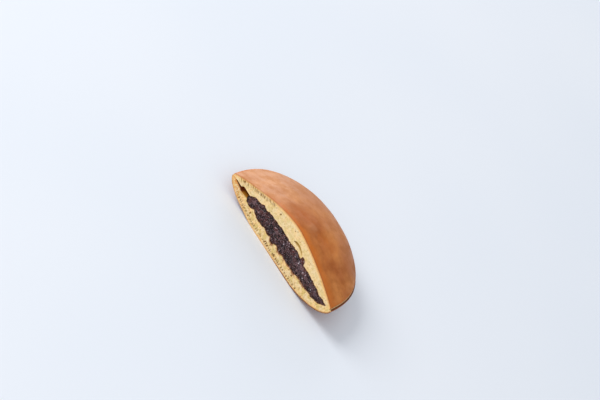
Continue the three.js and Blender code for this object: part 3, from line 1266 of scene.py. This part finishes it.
@dataclass(frozen=True)
class CrumbFinish(Finish):
    """The open yellow crumb of a cut pancake, with its thin crust and the stain of the filling.
    Shade in its pores, tear, gap and ledge and light on the ridges between its pores are painted.
    """

    name: str = "open_crumb"
    crumb: Colour = srgb(244, 217, 167)
    warm: Colour = srgb(255, 208, 138)
    olive: Colour = srgb(216, 190, 112)
    shade: Colour = srgb(208, 168, 108)
    # Painted highlight on the ridges between the pore strokes.
    light: Colour = srgb(255, 236, 190)
    # Painted shade inside the pores and the tear.
    pore_shade: Colour = srgb(150, 104, 44)
    torn: Colour = srgb(164, 126, 44)
    # Dark brown of the lower pancake's ledge: partly its browning, partly painted shade.
    rim: Colour = srgb(112, 62, 32)
    golden: Colour = srgb(224, 154, 82)
    crust: Colour = srgb(112, 60, 34)
    stain: Colour = srgb(150, 90, 60)
    # Amber of the syrup-soaked crumb, and a dark syrup colour that is partly painted shade deeper
    # in the gap.
    amber: Colour = srgb(180, 116, 22)
    syrup: Colour = srgb(126, 54, 8)
    roughness: float = 0.85
    gloss: float = 0.25

    def inputs(self, nodes: Nodes, effects: Effects) -> dict[str, object]:
        """What each input of the shader takes.

        Args:
            nodes: of the material.
            effects: shared node groups.

        Returns:
            Numbers or sockets, by the input's name.
        """
        at = nodes.mark("grain_place", "Vector")
        strokes = nodes.group(effects.grain, Place=at, Width=0.75, Length=2.4, Low=0.5, High=0.62)
        ridges = nodes.group(effects.grain, Place=at, Width=0.8, Length=2.4, Low=0.46, High=0.36)
        fibre = nodes.group(effects.grain, Place=at, Width=0.3, Length=0.9, Low=0.35, High=0.7)
        warm = nodes.group(effects.patches, Size=5, Detail=3, Low=0.42, High=0.64)
        olive = nodes.group(effects.patches, Size=3.3, Detail=3, Low=0.44, High=0.62)
        shade = nodes.group(effects.patches, Size=1.9, Detail=2, Low=0.5, High=0.68)
        spots = nodes.group(effects.patches, Size=2.2, Detail=3, Low=0.32, High=0.6)
        uneven = nodes.group(effects.patches, Size=1.6, Detail=2, Low=0.2, High=0.8)
        wander = nodes.group(effects.patches, Size=2.6, Detail=3, Low=0.3, High=0.75)
        depth, mottle, dark_line = (nodes.mark(m) for m in ("crust_depth", "mottle", "dark_line"))
        row = nodes.math("MULTIPLY_ADD", nodes.fit(depth, 5.5, 2.8), 0.8, 0.2)
        row = nodes.times(nodes.times(nodes.fit(depth, 0.7, 1.6), row), nodes.mark("open_row"))
        holes = nodes.times(strokes, row)
        thickness = nodes.math("MULTIPLY_ADD", uneven, 0.4, nodes.math("ADD", dark_line, 0.5))
        reach = nodes.math("MULTIPLY_ADD", wander, nodes.mark("stain_reach"), 0.25)
        stained = nodes.fit(nodes.mark("paste_distance"), reach, nodes.times(reach, 0.3))
        # The syrup stain is real; its darkening deeper behind the cut and at the narrow tip of the
        # gap is painted shade.
        behind = nodes.fit(nodes.mark("cut_distance"), 2, 7)
        soaked_and_shaded = nodes.mix(
            nodes.math("MAXIMUM", behind, nodes.mark("shaded_gap_tip")), self.amber, self.syrup
        )
        colour = nodes.layers(
            self.crumb,
            (warm, mottle, self.warm),
            (olive, mottle, self.olive),
            (shade, mottle, self.shade),
            (spots, nodes.mark("toasted"), self.golden),
            (nodes.fit(depth, 3.2, 0.8), nodes.math("SUBTRACT", 1.15, mottle), self.warm),
            # Painted shade: the pore strokes, the fine fibre, the open pores and the tear are
            # darker, as the shade inside them.
            (holes, 0.5, self.pore_shade),
            # Painted highlight: the ridges between the pore strokes are lighter.
            (nodes.times(ridges, row), 0.8, self.light),
            (fibre, 0.14, self.pore_shade),
            (nodes.mark("pore"), 0.9, self.pore_shade),
            (nodes.mark("torn"), 1, self.torn),
            (nodes.fit(depth, 2.2, 0.4), nodes.mark("golden"), self.golden),
            # The crust line at the cut, darker and thicker towards the lower pancake's right:
            # partly its crust, partly painted shade under its edge.
            (nodes.fit(depth, thickness, 0.15), dark_line, self.crust),
            (stained, 0.85, self.stain),
            (nodes.mark("syrup"), 1, soaked_and_shaded),
            # The ledge past the upper rim is dark brown: partly browning, partly painted shade.
            (nodes.mark("ledge"), 1, self.rim),
        )
        solid = nodes.math("SUBTRACT", 1, holes)
        return {
            "Base Color": colour,
            "Roughness": self.roughness,
            "Specular IOR Level": self.gloss,
            "Normal": nodes.bump(nodes.math("MULTIPLY_ADD", fibre, -0.35, solid), 0.25, 0.6),
        }


@dataclass(frozen=True)
class PasteFinish(Finish):
    """Moist, chunky bean paste with whole skins in it, painted glints, and painted shade where it
    lies deeper.
    """

    name: str = "bean_paste"
    plum: Colour = srgb(72, 32, 32)
    red: Colour = srgb(94, 42, 38)
    violet: Colour = srgb(82, 57, 70)
    flesh: Colour = srgb(136, 100, 102)
    brown: Colour = srgb(96, 54, 22)
    # Colour of the painted highlights.
    glint: Colour = srgb(214, 194, 200)
    # Dark of fine random patches, and of the painted shade where the paste lies deeper.
    dark: Colour = srgb(20, 8, 6)
    roughness: float = 0.4
    gloss: float = 0.15
    coat: float = 0.26
    coat_roughness: float = 0.1

    def inputs(self, nodes: Nodes, effects: Effects) -> dict[str, object]:
        """What each input of the shader takes.

        Args:
            nodes: of the material.
            effects: shared node groups.

        Returns:
            Numbers or sockets, by the input's name.
        """
        at = nodes.mark("painted_glint_place", "Vector")
        glint_streaks = nodes.group(effects.grain, Place=at, Width=0.7, Length=2.4, Low=0.58, High=0.68)
        glint_specks = nodes.group(effects.specks, Size=3, Radius=0.27, Share=0.2)
        patches = nodes.group(effects.patches, Size=3, Detail=4, Low=0.35, High=0.7)
        fine = nodes.group(effects.patches, Size=0.7, Detail=3, Low=0.35, High=0.7)
        violet = nodes.group(effects.patches, Size=5, Detail=2, Low=0.45, High=0.62)
        tone = nodes.mark("tone")
        skins = nodes.times(nodes.fit(tone, 0.35, 0.1), 0.9)
        inside = nodes.fit(nodes.mark("from_edge"), 0.4, 2.4)
        near_edge = nodes.times(nodes.math("SUBTRACT", 1, inside), 0.9)
        colour = nodes.layers(
            self.plum,
            (nodes.math("MAXIMUM", nodes.times(patches, 0.4), skins), 1, self.red),
            (nodes.times(violet, 0.6), nodes.fit(tone, 0.1, 0.35), self.violet),
            (nodes.fit(tone, 0.6, 0.95), 0.65, self.flesh),
            (near_edge, 1, self.brown),
            (fine, 0.6, self.dark),
            # Painted shade: darker where the paste lies deeper behind the cut.
            (nodes.fit(nodes.mark("sunk_shade"), 0.1, 0.8), 0.9, self.dark),
            # Painted highlights: light streaks and specks stand in for wet glints.
            (glint_streaks, 0.6, self.glint),
            (glint_specks, 0.9, self.glint),
        )
        rough = nodes.math("MULTIPLY_ADD", patches, 0.2, self.roughness)
        return {
            "Base Color": colour,
            "Roughness": nodes.math("MULTIPLY_ADD", near_edge, 0.35, rough),
            "Specular IOR Level": self.gloss,
            "Coat Weight": nodes.times(inside, self.coat),
            "Coat Roughness": self.coat_roughness,
            "Normal": nodes.bump(fine, 0.3, 0.9),
        }


@dataclass(frozen=True)
class FloorFinish(Finish):
    """A matt pale surface."""

    name: str = "pale_floor"
    colour: Colour = srgb(232, 236, 243)
    faint: Colour = srgb(229, 234, 242)
    roughness: float = 0.7
    gloss: float = 0.2

    def inputs(self, nodes: Nodes, effects: Effects) -> dict[str, object]:
        """What each input of the shader takes.

        Args:
            nodes: of the material.
            effects: shared node groups.

        Returns:
            Numbers or sockets, by the input's name.
        """
        soft = nodes.group(effects.patches, Size=300, Detail=1, Low=0.3, High=0.7)
        return {
            "Base Color": nodes.mix(soft, self.colour, self.faint),
            "Roughness": self.roughness,
            "Specular IOR Level": self.gloss,
        }


# ---- The cake's pieces -----------------------------------------------------------------------


@dataclass
class Pancake(HalfMoon):
    """One of the two halved pancakes.

    Its large pores are given as x, height above the seam, width, height, turn and depth.
    """

    cake: Cake
    side: Side
    fineness: Fineness = Fineness(rings=336, rows=52)
    seed: int = 1
    row: Span = (-60, 40)
    row_ends: Span = (4, 6)
    row_spacing: float = 2.3
    row_depth: float = 2.8
    row_length: float = 2.8
    row_lean: float = 0.0
    row_opening: float = 1.0
    fine_pores: int = 220
    large_pores: tuple[tuple[float, ...], ...] = ()
    full_pore: float = 0.9
    full_gap: float = 0.6
    grain_shift: float = 40.0
    mottle: float = 0.45
    toasted: float = 0.0
    toasted_tip: Span = (-66, -46)
    band: Span = (-45, -5)
    # Strength of the painted sheen, and where it fades along the cut and towards the back.
    pale: float = 0.0
    painted_sheen_end: Span = (-50, 14)
    painted_sheen_back: Span = (24, 56)
    stain_reach: float = 0.5
    stain_more: float = 0.0
    stain_middle: float = 20
    stain_length: float = 28
    shaded_gap_tip_span: Span = (-57.5, -55.5)
    pale_ledge: Span = (0.3, 0.8)
    # How dark the crust line at the cut is, and where it grows: partly crust, partly painted shade.
    dark_line: float = 0.3
    dark_from: Span = (-200, -160)
    lip_reach: float = 0.8
    roughness: float = 0.05
    rough_size: float = 1.1
    tear: Tear = Tear()

    @property
    def mound(self) -> Mound:
        """The form of the browned side."""
        return self.cake.mound(self.side)

    def skin(self, outer: bool, share: Array, angle: Array) -> Array:
        """Points of the browned side, or of the inner side."""
        x, y = self.mound.plan.point(share, angle, 0.0 if outer else self.mound.lip_inset)
        return spread(x, y, (self.cake.browned if outer else self.cake.inner)(self.side, x, y))

    def between(self, first: Array, last: Array, part: Array, near_rim: Array) -> Array:
        """Points from the inner side to the browned side, on a rounded lip at the rim.

        Args:
            first: points of the inner side.
            last: points of the browned side.
            part: 0 at the inner side and 1 at the browned one.
            near_rim: 1 at the rim and 0 well inside.

        Returns:
            The points.
        """
        level = part + near_rim * (np.sin(part * math.pi / 2) - part)
        rise = part + near_rim * (1 - np.cos(part * math.pi / 2) - part)
        points = first + (last - first) * level
        points[..., 2] = (first + (last - first) * rise)[..., 2]
        return points

    def near_rim(self, share: Array) -> Array:
        """1 at the rim and 0 well inside, along the cut."""
        plan = self.mound.plan
        return np.exp(-(1 - plan.crowded(share)) * plan.half_length / self.lip_reach)

    def crust_line(self) -> Array:
        """The x and z of the browned side's edge at the cut, from left to right."""
        return self.skin(True, *self.columns())[:, [0, 2]]

    def pores(self) -> list[Pore]:
        """Bubbles in the cut face: a row beside the crust, many fine ones and a few large ones.

        Returns:
            The bubbles.
        """
        draw = np.random.default_rng(self.seed)
        line = self.crust_line()
        slopes = np.gradient(line[:, 1], line[:, 0])
        pores = []
        for i in range(int((self.row[1] - self.row[0]) / self.row_spacing)):
            x = self.row[0] + self.row_spacing * (i + draw.uniform(0, 0.8))
            depth = self.side.value * (self.row_depth + draw.uniform(-0.5, 0.5))
            length = self.row_length * draw.uniform(0.6, 1.25)
            opening = self.row_opening * draw.uniform(0.3, 1.0)
            width = draw.uniform(0.8, 1.5)
            square = -math.atan(np.interp(x, line[:, 0], slopes))
            z = np.interp(x, line[:, 0], line[:, 1]) - depth * math.cos(square)
            turn = square - math.atan(self.row_lean)
            pores.append(Pore(x + depth * math.sin(square), z, width, length, turn, opening))
        for _ in range(self.fine_pores):
            x = draw.uniform(-0.94, 0.94) * self.mound.plan.half_length
            at = self.side, np.array([x]), np.zeros(1)
            inner, outer = float(self.cake.inner(*at)[0]), float(self.cake.browned(*at)[0])
            z = inner + (outer - inner) * draw.uniform(0.1, 0.9)
            size = draw.uniform(0.3, 0.75)
            pores.append(Pore(x, z, size, size * draw.uniform(1, 1.8), 0.0, size * 0.6))
        for x, height, *form in self.large_pores:
            pores.append(Pore(x, self.cake.seam.at(x) + height, *form))
        return pores

    def opened(self, x: Array, z: Array) -> tuple[Array, Array, Array]:
        """The bubbles and the tear.

        Args:
            x: places along the cut.
            z: heights.

        Returns:
            How deep they are, how open the bubbles are, and how open the tear is.
        """
        deep, wide, torn = np.zeros_like(x), np.zeros_like(x), np.zeros_like(x)
        for pore in self.pores():
            near = pore.near(x, z)
            dome = pore.dome(x[near], z[near])
            deep[near] = np.maximum(deep[near], pore.depth * dome)
            wide[near] = np.maximum(wide[near], dome * min(1, pore.depth / self.full_pore))
        if self.side is Side.UPPER:
            torn = self.tear.opening(self.cake.seam, x, z)
            deep = np.maximum(deep, self.tear.depth * torn)
        return deep, wide, torn

    def relief(self, x: Array, z: Array) -> Array:
        """How deep the crumb lies behind the plane of the cut, and 0 along its edges.

        Args:
            x: places along the cut.
            z: heights.

        Returns:
            The depth at each place.
        """
        rough = Noise(60 + self.seed).layered(spread(x, 0, z), self.rough_size, 2)
        relief = self.opened(x, z)[0] + self.roughness * (1 + rough)
        relief[:, [0, -1]] = 0
        relief[[0, -1]] = 0
        return relief

    def marks(self, points: Array, places: list[Array]) -> dict[str, Array]:
        """Values that the finishes read.

        Args:
            points: every point of the pancake.
            places: of the cut face, the inner side, the browned side and the rim in them.

        Returns:
            The values by name.
        """
        count, plan, filling = len(points), self.mound.plan, self.cake.filling.plan
        cut, inner = places[0].ravel(), places[1].ravel()
        x, y = points[:, 0], np.maximum(points[:, 1], 0)
        flat = points[cut][:, [0, 2]]
        line = self.crust_line()
        along = np.concatenate([[0], np.cumsum(np.hypot(*np.diff(line, axis=0).T))])
        depth, closest = nearest(flat, line)
        grain = points.copy()
        leaning = along[closest] - self.side.value * self.row_lean * depth
        grain[cut] = spread(leaning, depth, self.grain_shift * self.seed)
        past = filling.outwards(x[inner], y[inner]) - 1
        paste = placed(count, inner, np.maximum(0, past) * filling.half_length)
        paste_x = filling.centre + filling.half_length * np.linspace(-1, 1, 500)
        paste_z = self.cake.filling.edge(self.side, paste_x, np.zeros(500))
        paste[cut] = nearest(flat, np.stack([paste_x, paste_z], axis=1))[0]
        gap = smooth_step(self.cake.pocket.half_opening(x[inner], y[inner]), 0.0, self.full_gap)
        syrup = np.maximum(1 - smooth_step(past, 0.0, 0.04), gap)
        crown = self.cake.crown.plan
        beyond = (crown.outwards(x[inner], y[inner]) - 1) * crown.half_length
        ledge = smooth_step(beyond, *self.pale_ledge) if self.side is Side.LOWER else 0.0
        _, pore, torn = self.opened(*flat.T)
        to_rim = 1 - np.minimum(1, plan.outwards(x, y))
        stain = np.exp(-(((x - self.stain_middle) / self.stain_length) ** 4))
        row_in, row_out = (
            smooth_step(x, end - fade, end + fade) for end, fade in zip(self.row, self.row_ends)
        )
        dark = smooth_step(x, *self.dark_from)
        # Painted sheen: full at the left end, fading to the right, with some kept along the back.
        pale = smooth_step(x, *self.painted_sheen_end) * (1 - 0.5 * smooth_step(y, *self.painted_sheen_back))
        return {
            "crust_depth": placed(count, cut, depth, FAR_INSIDE),
            "grain_place": grain,
            "paste_distance": paste,
            "stain_reach": self.stain_reach + self.stain_more * stain,
            "dark_line": self.dark_line * (0.3 + 0.7 * dark),
            "golden": 0.35 + 0.25 * dark,
            "open_row": row_in * (1 - row_out),
            "mottle": np.full(count, self.mottle),
            "toasted": self.toasted * (1 - smooth_step(x, *self.toasted_tip)),
            # Painted shade at the narrow tip of the gap.
            "shaded_gap_tip": 1 - smooth_step(x, *self.shaded_gap_tip_span),
            "pore": placed(count, cut, pore),
            "torn": placed(count, cut, torn),
            "syrup": placed(count, inner, syrup),
            "cut_distance": y,
            "dented": self.cake.dented(self.side, x, y),
            "band": smooth_step(x, *self.band),
            "painted_sheen_end": self.pale * (1 - pale),
            "rim_distance": to_rim * plan.rim(np.arctan2(y, x - plan.centre)),
            "ledge": placed(count, inner, ledge),
        }

    def build(self, name: str, crust: Material, crumb: Material) -> bpy.types.Object:
        """Makes the piece, which stands for its solid.

        Args:
            name: of the piece.
            crust: finish of the browned side and the rim.
            crumb: finish of the cut face and the inner side.

        Returns:
            The piece.
        """
        points, places, faces = self.solid()
        if self.side is Side.LOWER:
            faces.corners = [corners[::-1] for corners in faces.corners]
        finishes = {Zone.BROWNED: crust, Zone.CUT: crumb, Zone.HIDDEN: crumb}
        piece = make_mesh(name, points, faces, finishes, self.marks(points, places))
        node = "upper_pancake" if self.side is Side.UPPER else "lower_pancake"
        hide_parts(node)
        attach(piece, "root")
        return piece


@dataclass
class BeanPaste(HalfMoon):
    """The filling: mashed beans with whole beans and skins in it.

    The swells, ridges and fine lumps of the mash are given as a height and a size.
    """

    cake: Cake
    fineness: Fineness = Fineness(rings=300, rows=64, rays=60)
    pieces: int = 230
    seed: int = 7
    level: float = -0.55
    swells: Span = (0.45, 2.6)
    ridges: Span = (0.3, 2.1)
    ridge_slant: float = 1.3
    ridge_sharpness: float = 2.2
    lumps: Span = (0.14, 1.1)
    tone_size: float = 2.2
    held: float = 0.8
    lip: float = 0.1
    dark_end: Span = (30, 48)
    glint_streak_size: float = 9.0

    def skin(self, outer: bool, share: Array, angle: Array) -> Array:
        """Points of the upper skin, or of the lower one."""
        x, y = self.cake.filling.plan.point(share, angle)
        return spread(x, y, self.cake.filling.edge(Side.UPPER if outer else Side.LOWER, x, y))

    def between(self, first: Array, last: Array, part: Array, near_rim: Array) -> Array:
        """Points on straight lines between the skins."""
        return first + (last - first) * part

    def fragments(self) -> list[Bean]:
        """Whole beans at the solid's places, the risen bean, and smaller pieces between them.

        Returns:
            The beans and pieces.
        """
        filling, plan = self.cake.filling, self.cake.filling.plan
        draw = np.random.default_rng(self.seed)
        beans = [*filling.beans(), filling.risen_bean()]
        for _ in range(self.pieces):
            x = plan.centre + plan.half_length * draw.uniform(-0.97, 0.97)
            top, bottom = (float(filling.edge(s, np.array([x]), np.zeros(1))[0]) for s in Side)
            z = bottom + (top - bottom) * draw.uniform(0.04, 0.96)
            length = draw.uniform(1.6, 4.8)
            width = length * draw.uniform(0.25, 0.6)
            turn = draw.normal(0.1, 0.8)
            proud, tone = draw.uniform(-0.2, 0.6), draw.uniform(0, 1)
            beans.append(Bean(x, z, length, width, turn, proud, tone))
        return beans

    def surface(self, x: Array, z: Array) -> tuple[Array, Array]:
        """The cut face of the paste.

        Args:
            x: places along the cut.
            z: heights.

        Returns:
            How far it stands out of the cut, and the tone of the piece that shows.
        """
        noise = Noise(33)
        swell = self.swells[0] * noise.layered(spread(x, 0, z), self.swells[1], 3)
        crease = np.abs(noise.layered(spread(x, 5, self.ridge_slant * z), self.ridges[1], 2))
        height = self.level + swell + self.ridges[0] * (1 - self.ridge_sharpness * crease)
        tone = np.clip(0.45 + 0.35 * noise.at(spread(x, 9, z), self.tone_size), 0, 1)
        for bean in self.fragments():
            near = bean.near(x, z)
            cap = bean.cap(x[near], z[near])
            shows = cap > height[near]
            height[near] = np.where(shows, cap, height[near])
            tone[near] = np.where(shows, bean.tone, tone[near])
        return height + self.lumps[0] * noise.layered(spread(x, 17, z), self.lumps[1], 2), tone

    def relief(self, x: Array, z: Array) -> Array:
        """How deep the paste lies behind the plane of the cut, less towards its edges.

        Args:
            x: places along the cut.
            z: heights.

        Returns:
            The depth at each place, below 0 in front of the plane.
        """
        from_edge = np.minimum(z - z[:, :1], z[:, -1:] - z)
        held = smooth_step(from_edge, 0.0, self.held)
        return -(self.surface(x, z)[0] * held - self.lip * (1 - held))

    def marks(self, points: Array) -> dict[str, Array]:
        """Values that the finish reads.

        Args:
            points: every point of the filling.

        Returns:
            The values by name.
        """
        x, y, z = points.T.copy()
        top, bottom = (self.cake.filling.edge(side, x, np.zeros_like(x)) for side in Side)
        # Directions of the painted highlight streaks.
        turn = 1.3 + 1.6 * Noise(34).at(spread(x, 0, z), self.glint_streak_size)
        c, s = np.cos(turn), np.sin(turn)
        darker = 1 - 0.45 * smooth_step(x, *self.dark_end)
        return {
            "tone": np.minimum(self.surface(x, z)[1], darker),
            "from_edge": np.maximum(0, np.minimum(top - z, z - bottom)),
            # How far the paste lies behind the cut, for its painted shade.
            "sunk_shade": np.clip(y + 0.15, 0, 1),
            "painted_glint_place": spread(x * c - z * s, x * s + z * c, y),
        }

    def build(self, finish: Material) -> bpy.types.Object:
        """Makes the piece, which stands for its solid.

        Args:
            finish: of the whole filling.

        Returns:
            The piece.
        """
        points, _, faces = self.solid()
        finishes = dict.fromkeys(Zone, finish)
        piece = make_mesh("azuki_paste", points, faces, finishes, self.marks(points))
        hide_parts("bean_paste")
        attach(piece, "root")
        return piece


# ---- Studio ----------------------------------------------------------------------------------


@dataclass(frozen=True)
class SoftLight:
    """A square soft light that looks at the cake."""

    name: str
    towards: tuple[float, float, float]
    distance: float
    size: float
    power: float
    colour: Colour = (1.0, 1.0, 1.0)

    def build(self) -> None:
        """Makes the light."""
        data = bpy.data.lights.new(self.name, "AREA")
        data.shape = "SQUARE"
        data.size = self.size
        data.energy = self.power
        data.color = self.colour
        light = add_object(self.name, data)
        direction = Vector(self.towards).normalized()
        light.location = direction * self.distance
        light.rotation_mode = "QUATERNION"
        light.rotation_quaternion = (-direction).to_track_quat("-Z", "Y")


@dataclass
class Studio:
    """The floor, the lights and the camera."""

    floor_size: float = 12.0
    lights: tuple[SoftLight, ...] = (
        SoftLight("key", (-0.783, -0.341, 0.507), 3.4, 1.83, 82.0, (1.0, 0.99, 0.97)),
        SoftLight("sheen", (-0.66, 0.72, 0.24), 2.4, 0.9, 9.0),
        SoftLight("fill", (0.4, -0.8, 0.45), 2.4, 1.4, 8.0),
    )
    sky: Colour = (0.93, 0.96, 1.0)
    sky_strength: float = 0.63
    azimuth: float = 19.49
    elevation: float = 33.51
    roll: float = 45.45
    distance: float = 1.8534
    aim: tuple[float, float, float] = (-19.24, 14.15, 48.09)
    lens: float = 132.0
    sensor: float = 36.0

    def build_floor(self, finish: Material) -> None:
        """Makes the floor, which isn't part of the cake.

        Args:
            finish: of the floor.
        """
        half = self.floor_size / 2
        corners = [(-half, -half, 0), (half, -half, 0), (half, half, 0), (-half, half, 0)]
        mesh = bpy.data.meshes.new("floor")
        mesh.from_pydata(corners, [], [(0, 1, 2, 3)])
        mesh.materials.append(finish)
        floor = add_object("floor", mesh)

    def build_sky(self) -> None:
        """Gives the room its soft light from all sides."""
        world = bpy.data.worlds.new("room")
        world.use_nodes = True
        background = world.node_tree.nodes["Background"]
        background.inputs["Color"].default_value = (*self.sky, 1.0)
        background.inputs["Strength"].default_value = self.sky_strength
        bpy.context.scene.world = world

    def build_camera(self) -> None:
        """Makes the camera, at the angle from which the cake is seen."""
        data = bpy.data.cameras.new("camera")
        data.lens = self.lens
        data.sensor_width = self.sensor
        camera = add_object("camera", data)
        a, e = math.radians(self.azimuth), math.radians(self.elevation)
        back = Vector((math.sin(a) * math.cos(e), -math.cos(a) * math.cos(e), math.sin(e)))
        level = (-back).to_track_quat("-Z", "Y").to_matrix()
        turned = level @ Matrix.Rotation(math.radians(self.roll), 3, "Z")
        place = Vector(to_frame(np.array(self.aim))) + back * self.distance
        camera.matrix_world = Matrix.Translation(place) @ turned.to_4x4()
        bpy.context.scene.camera = camera

    def build(self, floor: Material) -> None:
        """Makes the whole studio.

        Args:
            floor: finish of the floor.
        """
        self.build_floor(floor)
        self.build_sky()
        for light in self.lights:
            light.build()
        self.build_camera()
        bpy.context.scene.view_settings.view_transform = "Standard"
        bpy.context.scene.view_settings.look = "None"


def main() -> None:
    """Builds the cake and its studio."""
    logging.basicConfig(level=logging.INFO, format="%(message)s")
    effects = Effects()
    crust = CrustFinish().build(effects)
    # The lower pancake's browned side is a darker copy of the crust: painted shade.
    shaded_underside = CrustFinish(
        name="browned_underside_shaded",
        brown=srgb(150, 78, 36),
        light=srgb(172, 96, 48),
        deep=srgb(112, 52, 22),
        orange=srgb(160, 84, 34),
    ).build(effects)
    crumb = CrumbFinish().build(effects)
    cake = Cake()
    upper = Pancake(
        cake,
        Side.UPPER,
        seed=3,
        row=(-63, -24),
        row_lean=0.4,
        row_depth=3.6,
        row_length=4.4,
        row_spacing=2.0,
        row_opening=0.75,
        # Painted sheen at the left end of the browned side.
        pale=0.5,
        large_pores=(
            (-61, 4.6, 1.7, 2.6, -0.2, 1.4),
            (-42, 11.2, 1.1, 3.6, -0.4, 1.0),
            (-17.1, 15.6, 1.6, 2.2, 0.3, 1.3),
            (2.8, 18.0, 1.0, 1.2, 0.0, 0.9),
        ),
        stain_reach=0.35,
    )
    lower = Pancake(
        cake,
        Side.LOWER,
        seed=5,
        large_pores=(
            (-37.6, -9.4, 1.6, 2.8, 0.0, 1.4),
            (-44.5, -11.5, 1.1, 2.4, 0.5, 1.0),
            (-9.8, -14.2, 1.2, 3.6, 0.2, 1.5),
            (-8.0, -14.3, 1.0, 3.4, 0.2, 1.4),
            (-6.2, -15.0, 1.1, 2.8, 0.2, 1.5),
            (4.1, -15.0, 1.5, 3.2, 0.3, 1.6),
            (7.8, -15.8, 1.2, 2.6, 0.2, 1.3),
            (11.4, -16.2, 1.0, 2.4, -0.2, 1.0),
            (28.4, -12.2, 1.8, 2.2, 0.5, 1.5),
            (28.4, -9.2, 1.3, 1.6, 0.5, 0.8),
        ),
        mottle=0.75,
        toasted=1.0,
        stain_more=3.0,
        dark_line=0.9,
        dark_from=(-15, 25),
    )
    pieces = [
        upper.build("upper_sponge", crust, crumb),
        lower.build("lower_sponge", shaded_underside, crumb),
        BeanPaste(cake).build(PasteFinish().build(effects)),
    ]
    for piece in pieces:
        LOG.info("%s: %d faces", piece.name, len(piece.data.polygons))
    Studio().build(FloorFinish().build(effects))


if __name__ == "__main__":
    main()
